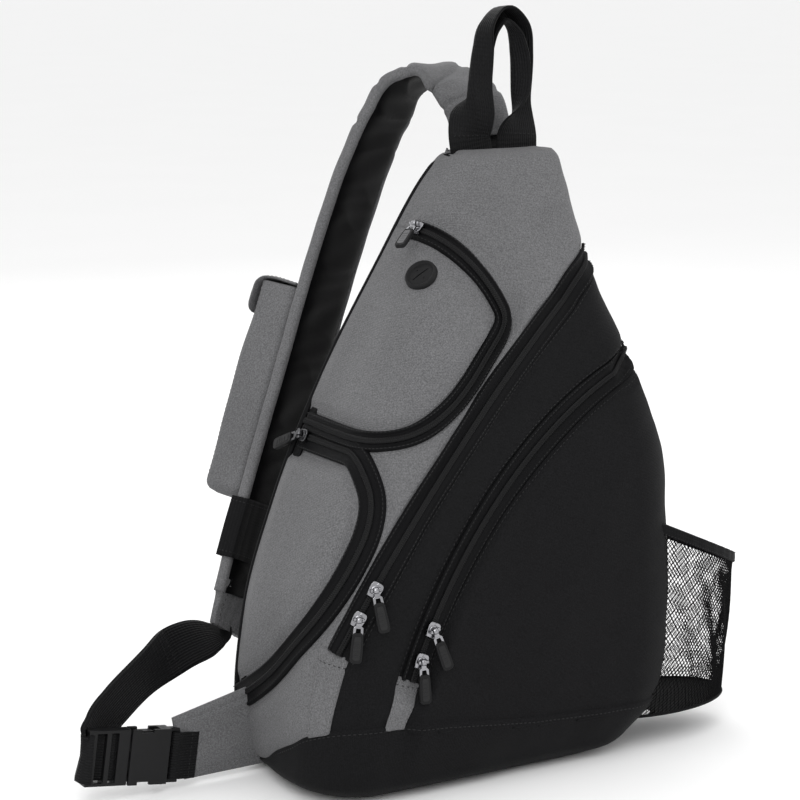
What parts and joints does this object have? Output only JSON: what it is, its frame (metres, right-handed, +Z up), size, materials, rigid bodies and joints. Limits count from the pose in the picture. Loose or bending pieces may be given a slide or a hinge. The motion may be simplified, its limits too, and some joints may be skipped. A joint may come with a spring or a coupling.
{
  "type": "sling bag",
  "caption": "Teardrop sling bag with zipped pockets, padded shoulder strap with phone pouch, carry handle, mesh bottle pocket and side-release buckle.",
  "frame": {"origin": "on the floor under the middle of the base", "axes": "+X to the bag's right as seen from the front, +Y to the back, towards the wearer, +Z up"},
  "size_m": [0.5601, 0.29, 0.5932],
  "materials": {
    "grey_fabric": "mid-grey coated polyester, plain weave",
    "black_fabric": "black coated polyester, plain weave",
    "black_mesh": "black spacer mesh over foam",
    "black_net": "open black netting",
    "black_lining": "black soft lining, slightly shiny",
    "black_webbing": "black ribbed polypropylene webbing",
    "black_binding": "black elastic binding",
    "zip_tape": "black herringbone zip tape",
    "zip_coil": "black nylon coil",
    "foam": "closed-cell foam, grey",
    "board": "stiff plastic sheet",
    "rubber": "dark soft rubber",
    "buckle_plastic": "dark moulded acetal",
    "chrome": "bright nickel plate",
    "dark_metal": "dark nickel plate"
  },
  "bodies": {
    "bag": {"bottom_boot": "black_fabric", "main_panel": "grey_fabric", "middle_panel": "black_fabric", "back_panel": "black_fabric", "back_pad": "black_mesh", "back_foam": "foam", "front_pocket": "black_fabric", "upper_pocket_panel": "grey_fabric", "lower_pocket_panel": "grey_fabric", "earphone_port": "rubber", "main_zip_tape": "zip_tape", "pocket_zip_tape": "zip_tape", "upper_zip_tape": "zip_tape", "lower_zip_tape": "zip_tape", "main_zip_coil": "zip_coil", "pocket_zip_coil": "zip_coil", "upper_zip_coil": "zip_coil", "lower_zip_coil": "zip_coil", "main_zip_tab": "grey_fabric", "pocket_zip_tab": "grey_fabric", "base_board": "board", "strap_anchor": "black_webbing", "wing": "grey_fabric", "wing_webbing": "black_webbing", "buckle_female": "buckle_plastic", "mesh_pocket": "black_net", "mesh_hem": "black_binding"},
    "main_slider_a": {"main_slider_a": "chrome"},
    "main_slider_b": {"main_slider_b": "chrome"},
    "pocket_slider_a": {"pocket_slider_a": "chrome"},
    "pocket_slider_b": {"pocket_slider_b": "chrome"},
    "upper_slider": {"upper_slider": "chrome"},
    "lower_slider": {"lower_slider": "dark_metal"},
    "main_pull_a": {"main_pull_a": "rubber"},
    "main_pull_b": {"main_pull_b": "rubber"},
    "pocket_pull_a": {"pocket_pull_a": "rubber"},
    "pocket_pull_b": {"pocket_pull_b": "rubber"},
    "upper_pull": {"upper_pull": "rubber"},
    "lower_pull": {"lower_pull": "rubber"},
    "handle": {"handle": "black_webbing"},
    "strap": {"strap_outer": "grey_fabric", "strap_foam": "foam", "strap_lining": "black_lining", "strap_tail": "grey_fabric", "pouch": "grey_fabric", "keeper_band": "black_binding", "webbing": "black_webbing"},
    "pouch_flap": {"pouch_flap": "grey_fabric"},
    "buckle_male": {"buckle_male": "buckle_plastic"},
    "prong_upper": {"prong_upper": "buckle_plastic"},
    "prong_lower": {"prong_lower": "buckle_plastic"}
  },
  "joints": [
    {"name": "main_slider_a_travel", "type": "hinge", "parent": "bag", "child": "main_slider_a", "pos_m": [0.184, 0.282, -0.006], "axis": [-0.5702, 0.7083, 0.4162], "range_deg": [0, 27]},
    {"name": "main_slider_b_travel", "type": "hinge", "parent": "bag", "child": "main_slider_b", "pos_m": [0.184, 0.282, -0.006], "axis": [-0.5702, 0.7083, 0.4162], "range_deg": [-2.8, 0]},
    {"name": "pocket_slider_a_travel", "type": "hinge", "parent": "bag", "child": "pocket_slider_a", "pos_m": [0.201, 0.037, 0.004], "axis": [-0.309, 0.9391, 0.15], "range_deg": [0, 39.5]},
    {"name": "pocket_slider_b_travel", "type": "hinge", "parent": "bag", "child": "pocket_slider_b", "pos_m": [0.201, 0.037, 0.004], "axis": [-0.309, 0.9391, 0.15], "range_deg": [-1.6, 0]},
    {"name": "upper_slider_travel", "type": "hinge", "parent": "bag", "child": "upper_slider", "pos_m": [0.0067, 0.0501, 0.3542], "axis": [0.8876, 0.2159, 0.4068], "range_deg": [0, 70]},
    {"name": "lower_slider_travel", "type": "slide", "parent": "bag", "child": "lower_slider", "axis": [0, -1, 0], "range_m": [0, 0.046]},
    {"name": "main_pull_a_swing", "type": "hinge", "parent": "main_slider_a", "child": "main_pull_a", "pos_m": [-0.12214, -0.07349, 0.17295], "axis": [-0.9278, 0.3302, -0.1734], "range_deg": [0, 100]},
    {"name": "main_pull_b_swing", "type": "hinge", "parent": "main_slider_b", "child": "main_pull_b", "pos_m": [-0.13564, -0.07175, 0.15149], "axis": [-0.9093, 0.4006, 0.113], "range_deg": [0, 100]},
    {"name": "pocket_pull_a_swing", "type": "hinge", "parent": "pocket_slider_a", "child": "pocket_pull_a", "pos_m": [-0.07548, -0.08211, 0.1367], "axis": [-0.9411, 0.1146, -0.3182], "range_deg": [0, 100]},
    {"name": "pocket_pull_b_swing", "type": "hinge", "parent": "pocket_slider_b", "child": "pocket_pull_b", "pos_m": [-0.08559, -0.08174, 0.11356], "axis": [-0.9867, 0.1565, -0.0433], "range_deg": [0, 100]},
    {"name": "upper_pull_swing", "type": "hinge", "parent": "upper_slider", "child": "upper_pull", "pos_m": [-0.02612, 0.03021, 0.43094], "axis": [-0.5237, 0.8449, -0.1088], "range_deg": [0, 100]},
    {"name": "lower_pull_swing", "type": "hinge", "parent": "lower_slider", "child": "lower_pull", "pos_m": [-0.11475, 0.058, 0.26815], "axis": [0.3734, 0.4695, 0.8001], "range_deg": [0, 100]},
    {"name": "handle_swing", "type": "hinge", "parent": "bag", "child": "handle", "pos_m": [0.066, 0.06, 0.486], "axis": [1, 0, 0], "range_deg": [-12, 60]},
    {"name": "strap_swing", "type": "hinge", "parent": "bag", "child": "strap", "pos_m": [0.073, 0.087, 0.489], "axis": [1, 0, 0], "range_deg": [-3, 8], "deforming": ["webbing"]},
    {"name": "pouch_flap_lift", "type": "hinge", "parent": "strap", "child": "pouch_flap", "pos_m": [-0.04856, 0.15572, 0.36068], "axis": [0.8243, 0.4594, -0.3309], "range_deg": [0, 78]},
    {"name": "buckle_release", "type": "slide", "parent": "bag", "child": "buckle_male", "axis": [-0.9903, 0, 0.1392], "range_m": [0, 0.032], "deforming": ["webbing"]},
    {"name": "prong_upper_squeeze", "type": "hinge", "parent": "buckle_male", "child": "prong_upper", "pos_m": [-0.26761, 0.054, 0.0475], "axis": [0, 1, 0], "range_deg": [0, 6], "stiffness_Nm_per_rad": 0.4},
    {"name": "prong_lower_squeeze", "type": "hinge", "parent": "buckle_male", "child": "prong_lower", "pos_m": [-0.27193, 0.054, 0.0168], "axis": [0, -1, 0], "range_deg": [0, 6], "stiffness_Nm_per_rad": 0.4}
  ],
  "couplings": [
    {"joint": "prong_lower_squeeze", "follows": "prong_upper_squeeze", "ratio": 1}
  ]
}
